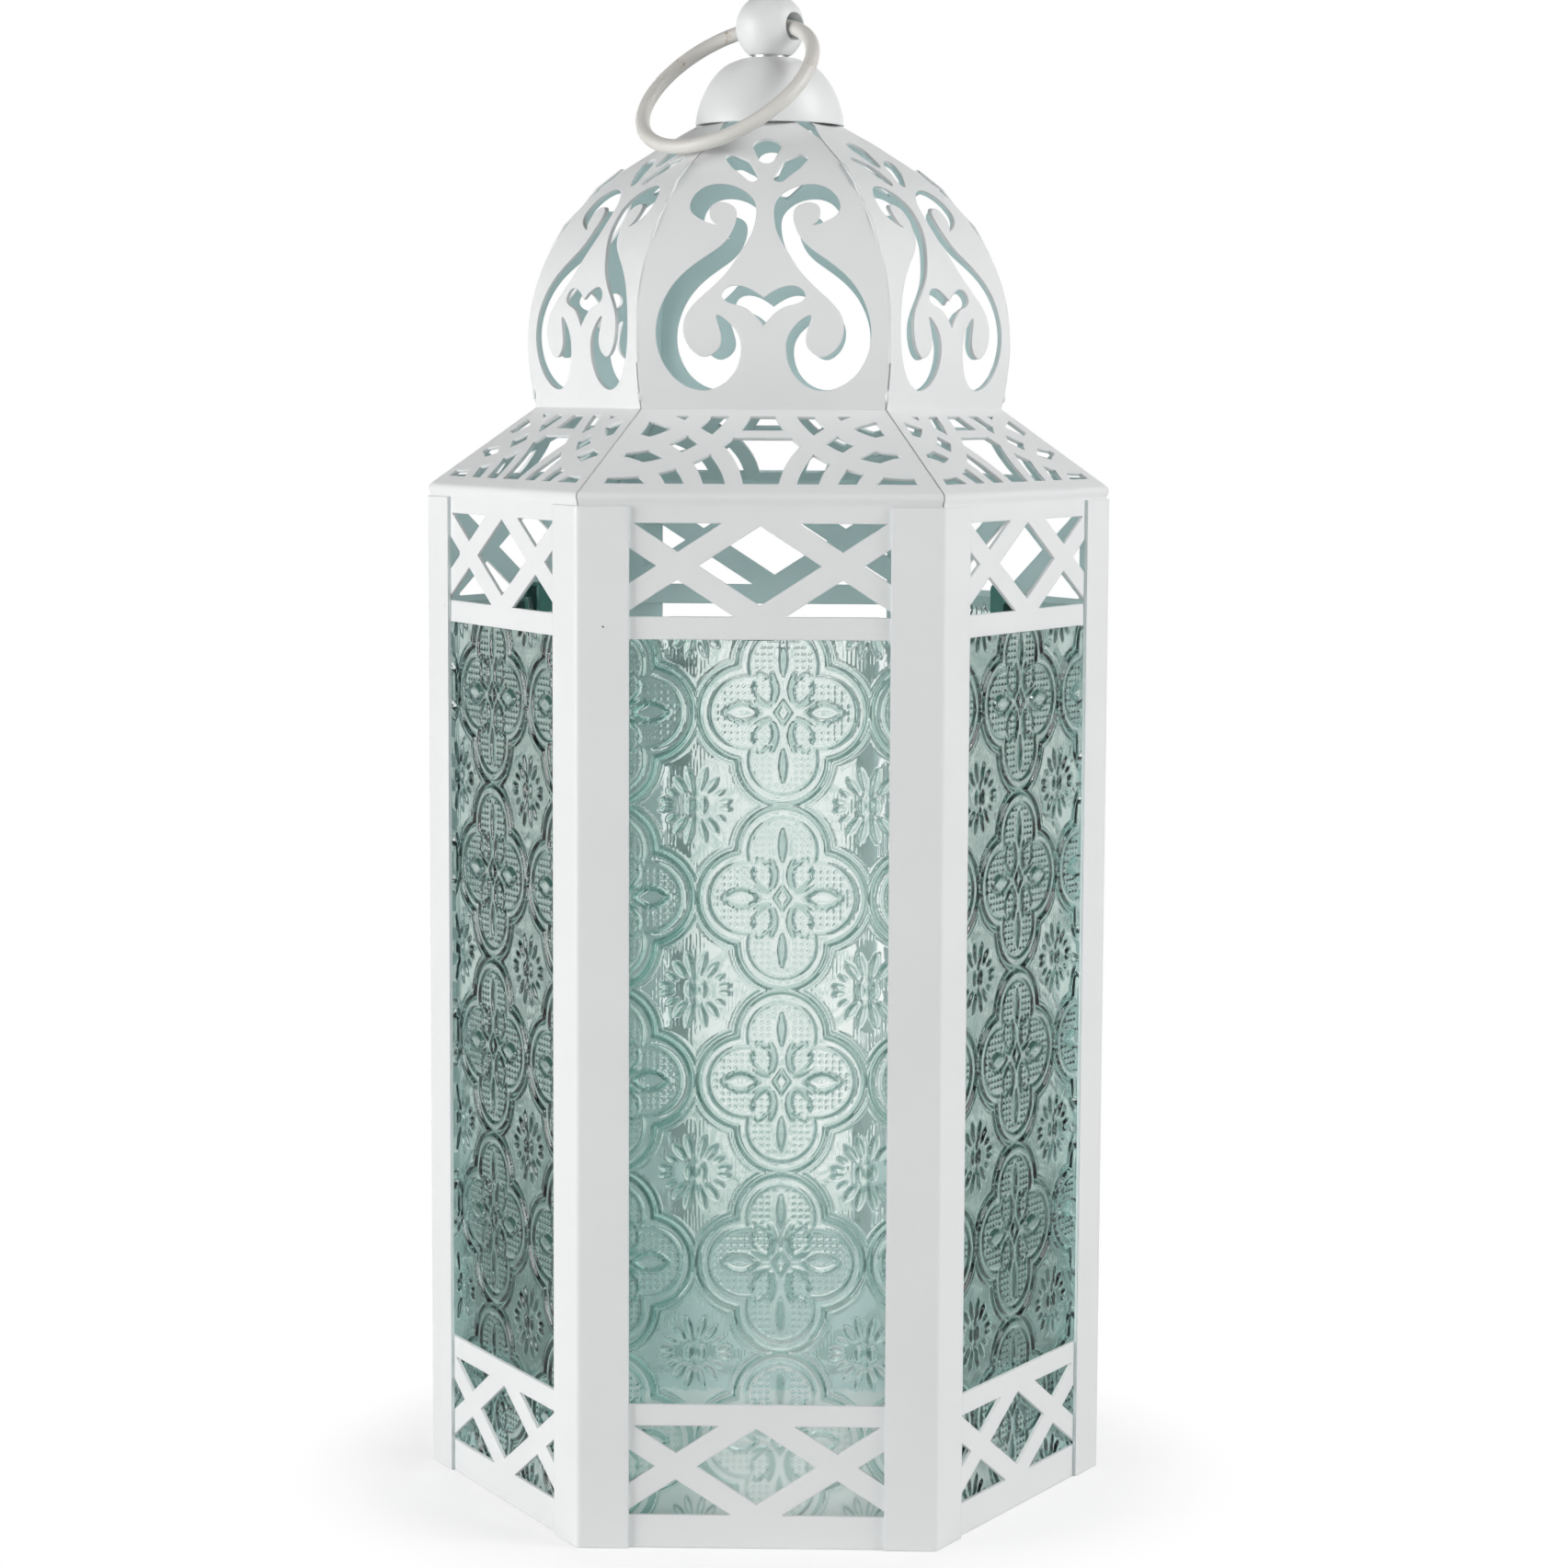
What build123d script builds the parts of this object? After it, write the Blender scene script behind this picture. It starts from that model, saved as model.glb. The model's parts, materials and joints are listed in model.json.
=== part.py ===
"""Hexagonal sheet-metal candle lantern with pressed-glass windows.

Six stamped roof petals run from under the top cap down over a pierced dome, a
sloping skirt and a rolled rim to an upper band of crossed bars. Six folded
corner posts carry them. Below each window is a crossed-bar lower panel, and a
hexagonal pan closes the bottom. The back window is a hinged door with a turning
latch. A ring handle swings in a bead that is bolted through the cap.

Millimetres. The origin is the middle of the underside, +Z is up and the front
face looks towards -Y. Pieces of a face are built as its front face and turned
into place, so "across" is local X and "apothem" is the distance from the axis.
"""
import os
from math import asin, atan2, cos, degrees, hypot, radians, sin, sqrt, tan

from build123d import *

# ---------------------------------------------------------------- body sizes
corner_radius = 82.5        # axis to the outside fold of a corner post
sheet = 0.8                 # thickness of all the folded sheet metal
window_height = 175.2       # lower panel's top edge to the upper band
post_flange = 12.0          # width of each leg of a corner post
post_gap = 0.4              # post's top below the rim's tuck
post_bend = 1.6             # outside radius of the fold of a post
post_inside_bend = 0.25
seam_gap = 0.3              # between neighbouring petals and lower panels

# ------------------------------------------------------------ crossed bars
cross_angle = 33.0          # slope of the bars, in degrees
bar_width = 5.2
cross_above = 9.5           # middle of a cross up to the border above it
cross_below = 11.4          # middle of a cross down to the border below it
cross_end = 15.5            # middle of a cross to the end of the pierced field
lattice_margin = 7.25       # left solid from a corner of the body
lattice_corner = 0.8        # radius of the corners of the openings
panel_border = (7.7, 5.0)   # left solid below and above the lower crosses
band_border = (5.1, 6.2)    # the same for the upper crosses, up to the rim

# ------------------------------------------------------------- roof profile
rim_roll = 1.6              # outside radius of the rolled rim
rim_tuck = 2.0              # drop over which the rim steps in to the band
skirt_run = 22.95           # rim in to the neck
skirt_rise = 19.0           # rim up to the neck
dome_bulge = 1.7            # neck out to the widest part of the dome
dome_rise = 16.0            # neck up to the widest part of the dome
upper_dome_radius = 51.0
dome_turn = 54.0            # degrees of the upper dome's arc
tip_apothem = 10.0

# ---------------------------------------------------- pattern in the skirt
skirt_margin = 3.75         # left solid along the slanted edges
skirt_bottom = 4.0          # left solid above the rim
skirt_top = 2.5             # left solid below the neck
fan_low = (7.25, 0.5)       # centre of the rings that fan out from a low corner:
                            # in from the corner, and up the slope
fan_low_rings = ((26.3, 30.2), (17.2, 21.3), (8.9, 13.0))
fan_high = (8.25, 38.0)     # centre of the rings that come down from the neck
fan_high_rings = ((27.5, 32.0), (19.4, 23.7))
tie_bar = (25.0, 19.8, 22.4)    # ends in from a low fan's centre, edges up the slope
smallest_hole = 1.5         # area under which an opening is left solid

# ----------------------------------------------------- pattern in the dome
drawn_half_neck = 28.0      # the pattern is drawn for a neck this wide each side
# Each row: across, distance up the petal from the neck, half the slot's width.
scroll = (
    (12.0, 44.3, 1.0), (14.4, 46.8, 2.0), (14.5, 49.6, 2.5), (12.6, 51.9, 2.8),
    (9.7, 52.5, 2.8), (6.7, 51.3, 2.6), (4.6, 48.7, 2.4), (4.3, 45.2, 2.2),
    (5.0, 41.9, 2.2), (7.0, 37.9, 2.2), (10.1, 34.0, 2.9), (14.0, 30.4, 3.4),
    (17.9, 26.6, 3.3), (20.6, 22.2, 3.0), (21.4, 18.0, 3.1), (20.3, 13.2, 3.4),
    (17.4, 9.6, 3.7), (13.3, 8.2, 3.8), (9.4, 10.2, 3.3), (7.5, 14.2, 2.4),
    (8.5, 18.4, 1.5), (10.3, 20.8, 0.7),
)
heart_half = (
    (0.0, 25.4), (2.7, 27.2), (5.8, 28.2), (8.7, 27.4), (9.5, 25.7), (8.2, 24.4),
    (4.9, 23.4), (2.1, 21.5), (0.0, 19.0),
)
# Each leaf: rows of across, distance up from the dome's last bend, radius.
top_leaf = ((0.0, 6.0, 3.3), (0.0, 0.6, 1.8))
side_leaf = ((7.9, 0.9, 1.7), (5.9, -1.6, 2.4), (3.1, -6.6, 1.4))
seam_notch = (25.5, 17.6, 2.1)  # outer end, where it is widest, half its width

# ------------------------------------------------------------ glass and pan
glass = 2.6                 # thickness of a pane with its relief
pane_corner_gap = 0.75      # edge of a pane to the corner between two panes
pane_lap = 3.8              # how far a pane stands up behind the upper band
pane_clearance = 0.2
pan_rim_height = 6.5
stop_ring_height = 4.0
clip_width = 6.0
clip_rise = 3.4             # from the pane's top to the top of its clip
clip_reach = 4.0            # how far a clip comes down the inside of a pane
clip_corner = 1.6

# -------------------------------------------------------------------- door
door_side_gap = 1.8         # door's edge to a post's flange
door_top_gap = 3.5          # door's top to the upper band
door_bottom_gap = 2.4       # door's bottom to the lower panel
door_frame = 6.0            # width of the door's stiles and rails
door_clip_cover = 0.2       # door's folded edges past the clips on its pane
hinge_offset = 2.0          # hinge axis out from the posts' faces
knuckle_radius = 1.8
hinge_pin_radius = 0.8
hinge_running = 0.06        # clearance of the door's knuckle on its pin
hinge_leaf = 8.0
hinge_height = 24.0
hinge_gap = 0.3             # between knuckles along the pin
hinge_inset = 22.0          # door's end to the middle of a hinge
latch_length = 16.0
latch_width = 7.0
latch_lift = 0.3            # latch clear of the faces it passes over
latch_lip = 2.5
rivet_radius = 1.15
rivet_head = 2.4
rivet_running = 0.06
stop_overlap = 1.3          # how far a stop lug reaches behind the door's edge
stop_clearance = 0.3
stop_height = 10.0

# --------------------------------------------------------- cap, bead, ring
cap_radius = 17.7
cap_rise = 15.91            # cap's rim to its top
cap_shape = ((17.35, 0.18), (16.3, 0.39), (14.9, 0.575), (12.9, 0.755),
             (10.3, 0.895), (7.3, 0.975))   # radius, share of the cap's height
cap_flat = 4.6              # radius of the flat on top of the cap
collar_radius = 4.4
collar_height = 0.7
bead_radius = 8.2
bead_height = 13.0          # between its two flats
bore_radius = 3.3
bore_turn = -38.0           # direction of the bead's bore, degrees from +X
stud_radius = 2.0
stud_into_bead = 2.5
stud_roof = 0.2             # left above the stud in its hole
stud_clearance = 0.2        # in the cap and the crown plate
crown_apothem = 14.0
crown_flat = 6.5            # apothem of the crown plate's flat top
washer_radius = 5.0
nut_across_flats = 7.0
nut_height = 3.2
stud_tail = 2.0             # below the nut
ring_radius = 22.2          # to the middle of the ring's wire
wire_radius = 1.7
ring_shift = 0.6            # wire's bend set outwards, so that it clears the bore
ring_droop = 42.5           # degrees below level at which the ring lies

beyond = 10.0               # how far a cutting block runs past what it cuts

# ------------------------------------------------------------ worked values
lower_cross_height = panel_border[0] + cross_below
lower_panel_height = lower_cross_height + cross_above + panel_border[1]
window_top = lower_panel_height + window_height
upper_cross_height = window_top + band_border[0] + cross_below
rim_height = upper_cross_height + cross_above + band_border[1]
post_height = rim_height - rim_tuck - post_gap
neck_height = rim_height + skirt_rise
belly_height = neck_height + dome_rise
lattice_half = corner_radius / 2 - lattice_margin
cross_pitch = 2 * (lattice_half - cross_end)
face_apothem = corner_radius * sqrt(3) / 2
band_apothem = face_apothem - sheet         # outside of band and lower panels
panel_inside = band_apothem - sheet
pane_outside = panel_inside - sheet - pane_clearance
pane_inside = pane_outside - glass
pane_width = 2 * (pane_inside * tan(radians(30)) - pane_corner_gap)
pane_top = window_top + pane_lap
neck_apothem = face_apothem - skirt_run
belly_apothem = neck_apothem + dome_bulge
flange_edge = corner_radius / 2 - post_flange
door_half = flange_edge - door_side_gap
door_depth = 2 * sheet + glass + door_clip_cover    # reach of its folded edges
door_top = window_top - door_top_gap
door_bottom = lower_panel_height + door_bottom_gap
hinge_across = flange_edge - door_side_gap / 2
hinge_apothem = face_apothem + hinge_offset
latch_height = (door_top + door_bottom) / 2
dome_end_slope = radians(90 - dome_turn)
lower_dome_radius = (dome_rise ** 2 + dome_bulge ** 2) / (2 * dome_bulge)
lower_dome_arc = asin(dome_rise / lower_dome_radius)
dome_end_apothem = belly_apothem - upper_dome_radius * (1 - cos(radians(dome_turn)))
dome_end_height = belly_height + upper_dome_radius * sin(radians(dome_turn))
tip_height = dome_end_height + (dome_end_apothem - tip_apothem) * tan(dome_end_slope)

FACES = {"front": 0, "front_right": 60, "back_right": 120, "back": 180,
         "back_left": 240, "front_left": 300}
CORNERS = {"right": 0, "back_right": 60, "back_left": 120, "left": 180,
           "front_left": 240, "front_right": 300}


# --------------------------------------------------------------- small tools
def side_plane():
    """Sketch plane whose X is the apothem and whose Y is the height."""
    return Plane(origin=(0, 0, 0), x_dir=(0, -1, 0), z_dir=(-1, 0, 0))


def face_plane(apothem):
    """Sketch plane on the front face: X across, Y up."""
    return Plane(origin=(0, -apothem, 0), x_dir=(1, 0, 0), z_dir=(0, -1, 0))


def slope_plane(apothem, height, slope):
    """Sketch plane that climbs inwards at a slope from a point on the face."""
    return Plane(origin=(0, -apothem, height), x_dir=(1, 0, 0),
                 z_dir=(0, -sin(slope), cos(slope)))


def face_box(across, apothem, height):
    """Box on the front face, each argument a (low, high) pair."""
    middle = ((across[0] + across[1]) / 2, -(apothem[0] + apothem[1]) / 2,
              (height[0] + height[1]) / 2)
    size = (across[1] - across[0], apothem[1] - apothem[0], height[1] - height[0])
    return Pos(*middle) * Box(*size)


def hexagon(apothem, height, bottom=0.0):
    """Solid hexagonal block with flats at an apothem."""
    outline = RegularPolygon(apothem * 2 / sqrt(3), 6)
    return extrude(Plane.XY.offset(bottom) * outline, height)


def face_wedge():
    """The sixth of the plan that belongs to the front face, less its seam gap."""
    start = seam_gap / 2 / sin(radians(30))
    reach = 2 * corner_radius
    outline = Polyline((0, -start), (reach * tan(radians(30)), -start - reach),
                       (-reach * tan(radians(30)), -start - reach), close=True)
    return extrude(Plane.XY.offset(-beyond) * make_face(outline),
                   tip_height + 2 * beyond)


def turned(shape, degrees):
    return Rot(0, 0, degrees) * shape


def save(shape, name):
    solids = shape.solids()
    piece = solids[0] if len(solids) == 1 else Compound(solids)
    export_step(piece, f"parts/{name}.step")


# ------------------------------------------------------------- crossed bars
def lattice_openings(middle, half_width):
    """Openings of a pair of crosses, as a sketch of the front face."""
    field = Pos(0, middle + (cross_above - cross_below) / 2) * Rectangle(
        2 * half_width, cross_above + cross_below)
    for across in (-cross_pitch / 2, cross_pitch / 2):
        for slope in (-cross_angle, cross_angle):
            field -= Pos(across, middle) * Rot(0, 0, slope) * Rectangle(
                2 * cross_pitch, bar_width)
    return [fillet(opening.vertices(), lattice_corner) for opening in field.faces()]


def cut_through(part, plane, openings, depth):
    """Push flat openings through a piece, both ways from their plane."""
    for opening in openings:
        part -= extrude(plane * opening, depth, both=True)
    return part


# -------------------------------------------------------------------- petals
def petal_blank():
    """A petal before it is pierced: its section, drawn out across the face."""
    folds = FilletPolyline(
        (band_apothem, window_top), (band_apothem, rim_height - rim_tuck),
        (face_apothem, rim_height), (neck_apothem, neck_height),
        radius=[rim_roll, rim_roll])
    turn = degrees(lower_dome_arc)
    lower = CenterArc((belly_apothem - lower_dome_radius, belly_height),
                      lower_dome_radius, -turn, turn)
    upper = CenterArc((belly_apothem - upper_dome_radius, belly_height),
                      upper_dome_radius, 0, dome_turn)
    tip = Line(upper @ 1, (tip_apothem, tip_height))
    outside = Wire([*folds.edges(), *lower.edges(), *upper.edges(), *tip.edges()])
    section = make_face(outside.offset_2d(sheet, side=Side.LEFT))
    strip = extrude(side_plane() * section, corner_radius, both=True)
    return strip & face_wedge()


def on_dome(across, distance):
    """Point of the dome's elevation at a distance up the petal from the neck."""
    across *= neck_apothem * tan(radians(30)) / drawn_half_neck
    lower_length = lower_dome_radius * lower_dome_arc
    if distance < lower_length:
        turn = distance / lower_dome_radius - lower_dome_arc
        return across, belly_height + lower_dome_radius * sin(turn)
    turn = (distance - lower_length) / upper_dome_radius
    return across, belly_height + upper_dome_radius * sin(turn)


def scroll_opening():
    """The S-shaped slot, its sides set off from the middle line it follows."""
    one_side, other_side = [], []
    for before, here, after in zip(scroll, scroll[1:], scroll[2:]):
        run = (after[0] - before[0], after[1] - before[1])
        length = hypot(*run)
        normal = (-run[1] / length, run[0] / length)
        one_side.append(on_dome(here[0] + here[2] * normal[0],
                                here[1] + here[2] * normal[1]))
        other_side.append(on_dome(here[0] - here[2] * normal[0],
                                  here[1] - here[2] * normal[1]))
    ends = []
    for end, inner in ((scroll[0], scroll[1]), (scroll[-1], scroll[-2])):
        run = (end[0] - inner[0], end[1] - inner[1])
        share = end[2] / hypot(*run)
        ends.append(on_dome(end[0] + run[0] * share, end[1] + run[1] * share))
    outline = [ends[0], *one_side, ends[1], *reversed(other_side)]
    return make_face(Spline(*outline, periodic=True))


def heart_opening():
    right = Spline(*[on_dome(*point) for point in heart_half])
    return make_face([right, mirror(right, Plane.YZ)])


def leaf_opening(rounds, side=1):
    """A leaf-shaped hole: the outline drawn tight round a few circles."""
    circles = [Pos(side * across, distance) * Circle(radius)
               for across, distance, radius in rounds]
    return make_hull([edge for circle in circles for edge in circle.edges()])


def skirt_openings():
    """Openings between the rings that fan out over the skirt."""
    rise = neck_height - rim_height
    run = face_apothem - neck_apothem
    length = hypot(rise, run)
    low_half = corner_radius / 2
    high_half = neck_apothem * tan(radians(30))
    lean = atan2(low_half - high_half, length)
    side = skirt_margin / cos(lean)
    bottom, top = skirt_bottom, length - skirt_top
    low = low_half - side - bottom * tan(lean)
    high = low_half - side - top * tan(lean)
    field = make_face(Polyline((-low, bottom), (low, bottom), (high, top),
                               (-high, top), close=True))
    for side in (-1, 1):
        for centre, rings in ((fan_low, fan_low_rings), (fan_high, fan_high_rings)):
            across = side * (low_half - centre[0])
            for inner, outer in rings:
                field -= Pos(across, centre[1]) * (Circle(outer) - Circle(inner))
    short, below, above = tie_bar
    field -= Pos(0, (below + above) / 2) * Rectangle(
        2 * (low_half - fan_low[0] - short), above - below)
    return [piece for piece in field.faces() if piece.area > smallest_hole]


def roof_petal():
    """One pierced petal, in place on the front face."""
    petal = petal_blank()
    depth = 3 * sheet
    petal = cut_through(petal, face_plane(band_apothem),
                        lattice_openings(upper_cross_height, lattice_half), depth)
    skirt_slope = atan2(neck_height - rim_height, face_apothem - neck_apothem)
    petal = cut_through(petal, slope_plane(face_apothem, rim_height, skirt_slope),
                        skirt_openings(), depth)
    right = scroll_opening()
    for slot in (right, mirror(right, Plane.YZ), heart_opening()):
        petal -= extrude(face_plane(0) * slot, corner_radius)
    leaves = [leaf_opening(top_leaf), leaf_opening(side_leaf),
              leaf_opening(side_leaf, -1)]
    petal = cut_through(petal, slope_plane(dome_end_apothem, dome_end_height,
                                           dome_end_slope), leaves, depth)
    outer, inner, half = seam_notch
    notch = make_face(Polyline((outer, 0), (inner, half), (0, half), (0, -half),
                               (inner, -half), close=True))
    notch = extrude(Plane.XY.offset(dome_end_height) * notch, tip_height)
    return petal - turned(notch, -60) - turned(notch, -120)


# ---------------------------------------------------------------- body pieces
def corner_post():
    """Folded post at the corner on +X: two legs that wrap the corner."""
    corner = Vector(corner_radius, 0)
    inner = Vector(corner_radius - sheet / cos(radians(30)), 0)
    legs = []
    for side in (1, -1):
        along = Vector(-cos(radians(60)), side * sin(radians(60)))
        inward = Vector(-cos(radians(30)), -side * sin(radians(30)))
        end = corner + along * post_flange
        legs.append((end, end + inward * sheet))
    outline = Polyline(legs[0][0], corner, legs[1][0], legs[1][1], inner, legs[0][1],
                       close=True)
    post = extrude(make_face(outline), post_height)
    folds = post.edges().filter_by(Axis.Z).sort_by(Axis.X)
    post = fillet(folds[-1], post_bend)
    folds = post.edges().filter_by(Axis.Z).filter_by(
        lambda edge: abs(edge.center().Y) < 1e-6)
    return fillet(folds, post_inside_bend)


def lower_panel():
    """Crossed-bar panel below a window."""
    panel = face_box((-corner_radius, corner_radius), (panel_inside, band_apothem),
                     (0, lower_panel_height))
    panel = panel & face_wedge()
    openings = lattice_openings(lower_cross_height, lattice_half)
    return cut_through(panel, face_plane(band_apothem), openings, 2 * sheet)


def base_pan():
    """Hexagonal floor with a low rim turned up inside the panels."""
    pan = hexagon(panel_inside, pan_rim_height)
    pan = fillet(pan.faces().sort_by(Axis.Z)[0].edges(), sheet)
    return pan - hexagon(panel_inside - sheet, pan_rim_height, sheet)


def glass_stop_ring():
    """Hexagonal strip on the floor that keeps the feet of the panes out."""
    outer = hexagon(pane_inside - pane_clearance, stop_ring_height, sheet)
    return outer - hexagon(pane_inside - pane_clearance - sheet, 2 * stop_ring_height, 0)


def window_pane():
    """Fixed pane, standing on the floor of the pan."""
    return face_box((-pane_width / 2, pane_width / 2), (pane_inside, pane_outside),
                    (sheet, pane_top))


def window_clip():
    """Bent tab over the top of a fixed pane, joined to the band."""
    half = clip_width / 2
    back = pane_inside - pane_clearance - sheet
    top = pane_top + clip_rise
    block = face_box((-half, half), (back, panel_inside), (pane_top - clip_reach, top))
    room = face_box((-corner_radius, corner_radius),
                    (back + sheet, panel_inside - sheet), (0, top - sheet))
    clip = block - room
    shape = face_plane(0) * (Pos(0, top) * RectangleRounded(
        2 * half, 4 * clip_reach, clip_corner))
    rounded = Pos(0, 0, -2 * clip_reach) * extrude(shape, corner_radius)
    return clip & rounded


# ---------------------------------------------------------------- the door
def door_panel():
    """Window frame of the door, its outer edges folded inwards."""
    inside = face_apothem - door_depth
    door = face_box((-door_half, door_half), (inside, face_apothem),
                    (door_bottom, door_top))
    door -= face_box((-door_half + sheet, door_half - sheet),
                     (0, face_apothem - sheet),
                     (door_bottom + sheet, door_top - sheet))
    light = face_box((-door_half + door_frame, door_half - door_frame),
                     (0, 2 * face_apothem),
                     (door_bottom + door_frame, door_top - door_frame))
    light = fillet(light.edges().filter_by(Axis.Y), lattice_corner)
    return door - light


def door_pane():
    half = door_half - sheet - pane_clearance
    return face_box((-half, half), (face_apothem - sheet - glass, face_apothem - sheet),
                    (door_bottom + sheet, door_top - sheet - pane_clearance))


def door_clips():
    """Four tabs on the door's folded edges that hold its pane."""
    clips = []
    pane_back = face_apothem - sheet - glass
    edge = door_half - sheet
    for height in (door_bottom + hinge_inset, door_top - hinge_inset):
        for side in (1, -1):
            across = sorted((side * (edge - clip_reach), side * edge))
            clips.append(face_box(across, (pane_back - sheet, pane_back),
                                  (height - clip_reach, height + clip_reach)))
    return Compound(clips)


def knuckle(bottom, height, hole):
    """One barrel of a hinge on the hinge axis."""
    return Pos(hinge_across, -hinge_apothem, bottom) * (
        Cylinder(knuckle_radius, height, align=(Align.CENTER, Align.CENTER, Align.MIN))
        - Cylinder(hole, height, align=(Align.CENTER, Align.CENTER, Align.MIN)))


def hinge_parts(middle):
    """Post leaf, door leaf and pin of one hinge, about a height."""
    barrel = (hinge_height - 2 * hinge_gap) / 3
    bottom = middle - hinge_height / 2
    face = (face_apothem, face_apothem + sheet)
    post_leaf = []
    for start in (bottom, bottom + 2 * (barrel + hinge_gap)):
        strip = face_box((hinge_across, hinge_across + hinge_leaf), face,
                         (start, start + barrel))
        bore = Pos(hinge_across, -hinge_apothem, start) * Cylinder(
            hinge_pin_radius, 2 * barrel)
        post_leaf.append(strip - bore + knuckle(start, barrel, hinge_pin_radius))
    tie = face_box((hinge_across + hinge_leaf / 2, hinge_across + hinge_leaf), face,
                   (bottom, bottom + hinge_height))
    start = bottom + barrel + hinge_gap
    strip = face_box((hinge_across - hinge_leaf, hinge_across), face,
                     (start, start + barrel))
    wing = face_box((hinge_across - hinge_leaf, hinge_across - hinge_leaf / 2), face,
                    (bottom, bottom + hinge_height))
    door_leaf = strip + wing + knuckle(start, barrel, hinge_pin_radius + hinge_running)
    pin = Pos(hinge_across, -hinge_apothem, bottom) * Cylinder(
        hinge_pin_radius, hinge_height, align=(Align.CENTER, Align.CENTER, Align.MIN))
    return post_leaf[0] + post_leaf[1] + tie, door_leaf, pin


def rod(across, apothem, height, radius):
    """Round rod square to the front face, between two apothems."""
    low, high = apothem
    plane = Plane(origin=(across, -low, height), x_dir=(1, 0, 0), z_dir=(0, -1, 0))
    return extrude(plane * Circle(radius), high - low)


def latch_parts():
    """Turning latch that hangs down beside the door, and its rivet."""
    across = -(flange_edge + post_flange / 2)
    low = face_apothem + latch_lift
    high = low + sheet
    outline = make_hull([
        *(Circle(latch_width / 2)).edges(),
        *(Pos(0, -latch_length + latch_width / 3) * Circle(latch_width / 3)).edges()])
    plane = Plane(origin=(across, -low, latch_height), x_dir=(1, 0, 0), z_dir=(0, -1, 0))
    latch = extrude(plane * outline, sheet)
    lip = face_box((across - latch_width / 4, across + latch_width / 4),
                   (high - sheet / 2, high + latch_lip),
                   (latch_height - latch_length, latch_height - latch_length + sheet))
    latch = latch + lip
    latch -= rod(across, (low - sheet, high + sheet), latch_height,
                 rivet_radius + rivet_running)
    rivet = rod(across, (face_apothem - 2 * sheet, high + latch_lift + sheet),
                latch_height, rivet_radius)
    for start in (face_apothem - 2 * sheet, high + latch_lift):
        rivet += rod(across, (start, start + sheet), latch_height, rivet_head)
    return latch, rivet


def door_stops():
    """Two lugs inside the latch side's post that the closed door rests against."""
    lugs = []
    back = face_apothem - door_depth - stop_clearance
    leg = -(flange_edge + sheet)
    for height in (door_bottom + hinge_inset, door_top - hinge_inset):
        span = (height - stop_height / 2, height + stop_height / 2)
        lug = face_box((leg - sheet, leg), (back - sheet, band_apothem), span)
        lug += face_box((leg - sheet, -door_half + stop_overlap),
                        (back - sheet, back), span)
        lugs.append(lug)
    return Compound(lugs)


# ------------------------------------------------------- cap, bead and ring
def roof_height(apothem):
    """Height of the outside of a petal's straight tip at an apothem."""
    return dome_end_height + (dome_end_apothem - apothem) * tan(dome_end_slope)


def cap_seat():
    """Height at which the cap's rim meets the corners of the petals' notches."""
    outer, inner, half = seam_notch
    inside = cap_radius - sheet
    reach = half * (outer - inside) / (outer - inner)
    return roof_height(inside * cos(radians(30) - asin(reach / inside)))


def cap_top():
    return cap_seat() + cap_rise


def bead_middle():
    """Height of the axis on which the ring swings."""
    return cap_top() + collar_height + bead_height / 2


def roof_cap():
    """Spun bell-shaped cap with a hole for the stud."""
    seat, top = cap_seat(), cap_top()
    side = Spline((cap_radius, seat),
                  *[(radius, seat + share * cap_rise) for radius, share in cap_shape],
                  (cap_flat, top), tangents=[(0, 1), (-1, 0)])
    section = make_face([side, *Polyline(side @ 1, (0, top), (0, seat),
                                         side @ 0).edges()])
    bell = revolve(Plane.XZ * section, Axis.Z)
    bell = offset(bell, -sheet, openings=bell.faces().sort_by(Axis.Z)[0])
    return bell - Pos(0, 0, top) * Cylinder(stud_radius + stud_clearance, 4 * sheet)


def crown_plate():
    """Shallow pressed plate under the tips of the petals."""
    under = sheet / cos(dome_end_slope)
    bottom = roof_height(crown_apothem) - under
    top = roof_height(crown_flat) - under
    plate = []
    for drop in (0, under):
        low = Plane.XY.offset(bottom - drop) * RegularPolygon(
            crown_apothem * 2 / sqrt(3), 6)
        high = Plane.XY.offset(top - drop) * RegularPolygon(crown_flat * 2 / sqrt(3), 6)
        plate.append(loft([low, high]))
    plate = plate[0] - plate[1] - hexagon(crown_apothem * 2, under, bottom - under)
    return plate - Pos(0, 0, top) * Cylinder(stud_radius + stud_clearance, 8 * sheet)


def crown_top():
    return roof_height(crown_flat) - sheet / cos(dome_end_slope)


def collar():
    """Washer that stands the bead off the cap."""
    ring = Cylinder(collar_radius, collar_height,
                    align=(Align.CENTER, Align.CENTER, Align.MIN))
    hole = Cylinder(stud_radius, collar_height,
                    align=(Align.CENTER, Align.CENTER, Align.MIN))
    return Pos(0, 0, cap_top()) * (ring - hole)


def finial_bead():
    """Bead with flats top and bottom and a level bore for the ring."""
    bead = Sphere(bead_radius) & Box(3 * bead_radius, 3 * bead_radius, bead_height)
    bore = Rot(0, 0, bore_turn) * Rot(0, 90, 0) * Cylinder(bore_radius, 4 * bead_radius)
    bead = bead - bore
    hole = Pos(0, 0, -bead_height / 2) * Cylinder(
        stud_radius, stud_into_bead + stud_roof,
        align=(Align.CENTER, Align.CENTER, Align.MIN))
    return Pos(0, 0, bead_middle()) * (bead - hole)


def finial_stud():
    bottom = crown_top() - sheet / cos(dome_end_slope) - sheet - nut_height - stud_tail
    top = bead_middle() - bead_height / 2 + stud_into_bead
    return Pos(0, 0, bottom) * Cylinder(
        stud_radius, top - bottom, align=(Align.CENTER, Align.CENTER, Align.MIN))


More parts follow.
